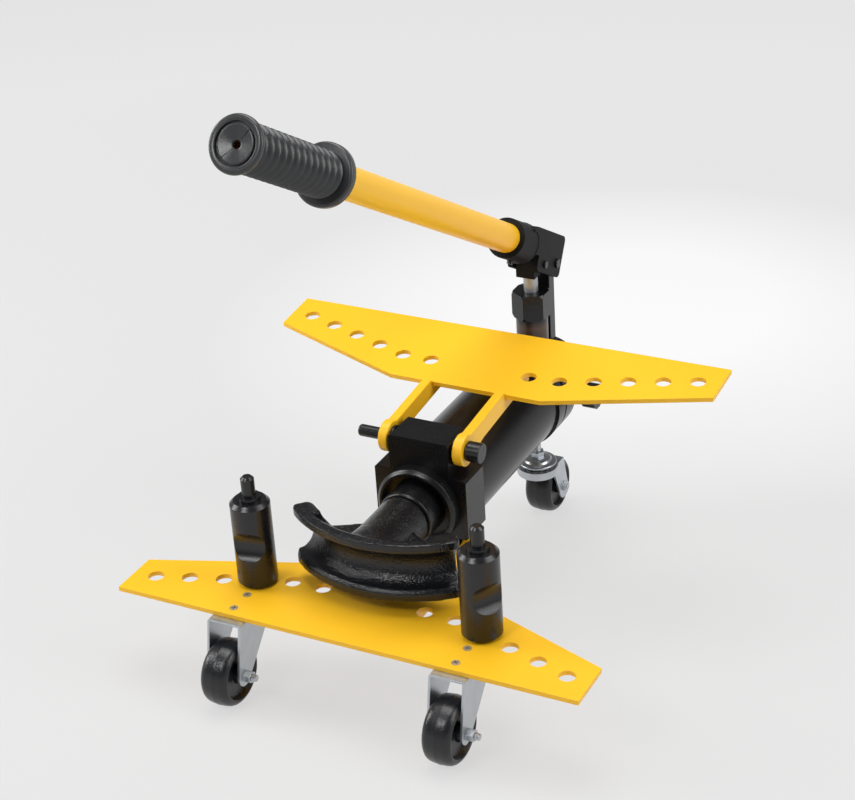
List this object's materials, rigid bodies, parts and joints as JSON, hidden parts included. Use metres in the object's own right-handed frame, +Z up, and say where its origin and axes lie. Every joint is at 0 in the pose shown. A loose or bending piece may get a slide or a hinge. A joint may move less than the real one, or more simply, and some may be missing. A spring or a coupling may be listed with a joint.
{
  "type": "hydraulic pipe bender",
  "caption": "Hand-pumped hydraulic pipe bender on castors: a ram pushes a grooved die between hinged wing plates that carry turning pillars.",
  "frame": {"origin": "middle of the bounding box, on the floor", "axes": "+Z up from the floor, -Y the way the ram pushes the die, +X along the hinge pins, towards their heads"},
  "size_m": [0.6, 0.7766, 0.773],
  "materials": {
    "amber_paint": "glossy amber powder coat",
    "gloss_black": "gloss black paint",
    "satin_black": "satin black paint",
    "black_oxide": "turned steel, black oxide",
    "cast_black": "sand cast, black paint",
    "ground_steel": "ground and plated",
    "steel": "turned steel",
    "zinc": "bright zinc plate",
    "wheel_plastic": "moulded nylon",
    "grip_rubber": "moulded rubber",
    "seal_rubber": "seal compound"
  },
  "bodies": {
    "frame": {"lower_wing_plate": "amber_paint", "lower_left_arm": "amber_paint", "lower_right_arm": "amber_paint", "upper_hinge_pin": "black_oxide", "lower_hinge_pin": "black_oxide", "yoke_block": "satin_black", "gland_collar": "satin_black", "rod_seal": "seal_rubber", "reservoir_tube": "gloss_black", "pressure_tube": "steel", "filler_plug": "steel", "rear_spring_anchor": "steel", "return_spring": "steel", "pump_base": "satin_black", "pump_barrel": "satin_black", "gland_nut": "satin_black", "plunger_packing": "seal_rubber", "check_balls": "steel", "fulcrum_post": "satin_black", "fulcrum_pin": "steel", "valve_gland": "satin_black", "left_bracket": "zinc", "right_bracket": "zinc", "left_axle": "zinc", "right_axle": "zinc", "axle_nuts": "zinc", "castor_screws": "zinc", "castor_nuts": "zinc", "rear_stem": "zinc", "cap_nut": "zinc", "rear_cap": "zinc", "race_balls": "steel", "stem_nut": "zinc"},
    "upper_wing": {"upper_wing_plate": "amber_paint", "upper_left_arm": "amber_paint", "upper_right_arm": "amber_paint"},
    "ram_train": {"ram": "satin_black", "piston": "steel", "piston_seal": "seal_rubber", "front_spring_anchor": "steel", "bending_die": "cast_black"},
    "lever": {"lever_socket": "satin_black", "socket_screw": "satin_black", "lever_tube": "amber_paint", "lever_grip": "grip_rubber", "plunger_pin": "steel"},
    "pump_plunger": {"plunger": "ground_steel"},
    "valve_spindle": {"release_valve": "satin_black"},
    "left_post": {"left_pillar": "black_oxide"},
    "right_post": {"right_pillar": "black_oxide"},
    "left_roller": {"left_wheel": "wheel_plastic"},
    "right_roller": {"right_wheel": "wheel_plastic"},
    "swivel_fork": {"rear_fork": "zinc", "rear_axle": "zinc", "rear_axle_nut": "zinc"},
    "rear_roller": {"rear_wheel": "wheel_plastic"}
  },
  "joints": [
    {"name": "upper_wing_swing", "type": "hinge", "parent": "frame", "child": "upper_wing", "pos_m": [0, -0.00666, 0.26149], "axis": [1, 0, 0], "range_deg": [0, 174.5]},
    {"name": "ram_slide", "type": "slide", "parent": "frame", "child": "ram_train", "axis": [0, -0.9983, -0.0587], "range_m": [0, 0.17], "stiffness_N_per_m": 600, "springref_m": -0.1},
    {"name": "lever_pump", "type": "hinge", "parent": "frame", "child": "lever", "pos_m": [0, 0.33573, 0.37228], "axis": [1, 0, 0], "range_deg": [-17, 28]},
    {"name": "plunger_slide", "type": "slide", "parent": "frame", "child": "pump_plunger", "axis": [0, -0.0587, 0.9983], "range_m": [-0.0181, 0.011]},
    {"name": "release_valve_turn", "type": "hinge", "parent": "frame", "child": "valve_spindle", "pos_m": [0.0723, 0.31367, 0.20219], "axis": [1, 0, 0], "range_deg": [0, 270]},
    {"name": "left_pillar_turn", "type": "hinge", "parent": "frame", "child": "left_post", "pos_m": [-0.149, -0.16975, 0.17978], "axis": [0, -0.0587, 0.9983], "continuous": true},
    {"name": "right_pillar_turn", "type": "hinge", "parent": "frame", "child": "right_post", "pos_m": [0.149, -0.16975, 0.17978], "axis": [0, -0.0587, 0.9983], "continuous": true},
    {"name": "left_wheel_roll", "type": "hinge", "parent": "frame", "child": "left_roller", "pos_m": [-0.1455, -0.24881, 0.0406], "axis": [1, 0, 0], "continuous": true},
    {"name": "right_wheel_roll", "type": "hinge", "parent": "frame", "child": "right_roller", "pos_m": [0.1455, -0.24881, 0.0406], "axis": [1, 0, 0], "continuous": true},
    {"name": "rear_swivel", "type": "hinge", "parent": "frame", "child": "swivel_fork", "pos_m": [0, 0.31671, 0.08246], "axis": [0, -0.0587, 0.9983], "continuous": true},
    {"name": "rear_wheel_roll", "type": "hinge", "parent": "swivel_fork", "child": "rear_roller", "pos_m": [0, 0.34931, 0.039], "axis": [1, 0, 0], "continuous": true}
  ],
  "couplings": [
    {"joint": "plunger_slide", "follows": "lever_pump", "m_per_rad": -0.036976}
  ]
}
